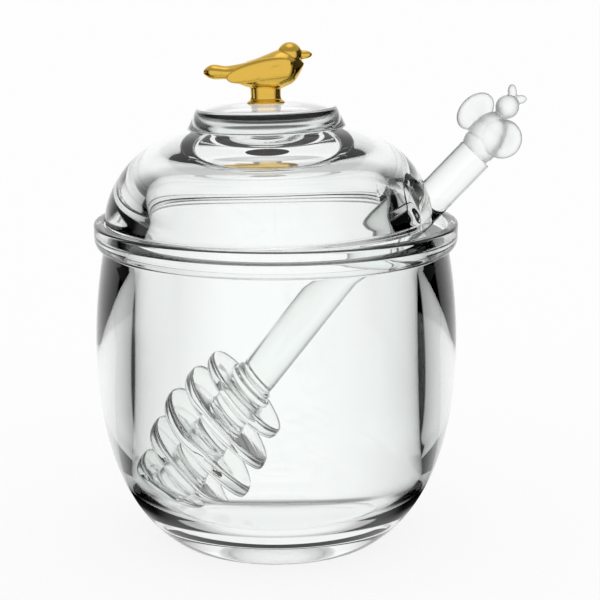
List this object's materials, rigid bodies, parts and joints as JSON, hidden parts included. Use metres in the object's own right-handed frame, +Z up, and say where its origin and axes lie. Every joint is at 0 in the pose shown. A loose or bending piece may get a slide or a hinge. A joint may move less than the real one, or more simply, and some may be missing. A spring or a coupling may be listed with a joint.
{
  "type": "glass honey pot with lid and dipper",
  "caption": "Heavy clear glass honey pot with a beaded rim, a domed lid with a solid knob and gilt bird, and a ringed glass dipper whose bee end leans out through a notch in the lid.",
  "frame": {"origin": "centre of the jar's flat foot, on the surface it stands on", "axes": "+Z up along the jar's axis, +X towards the side where the dipper leans out, -Y towards the viewer"},
  "size_m": [0.1187, 0.1004, 0.1377],
  "materials": {
    "clear_glass": "clear pressed soda-lime glass, fire polished",
    "gilt_metal": "polished gold plate on cast metal"
  },
  "bodies": {
    "root": {"jar": "clear_glass", "lid": "clear_glass", "dipper": "clear_glass", "bird": "gilt_metal"}
  },
  "joints": []
}
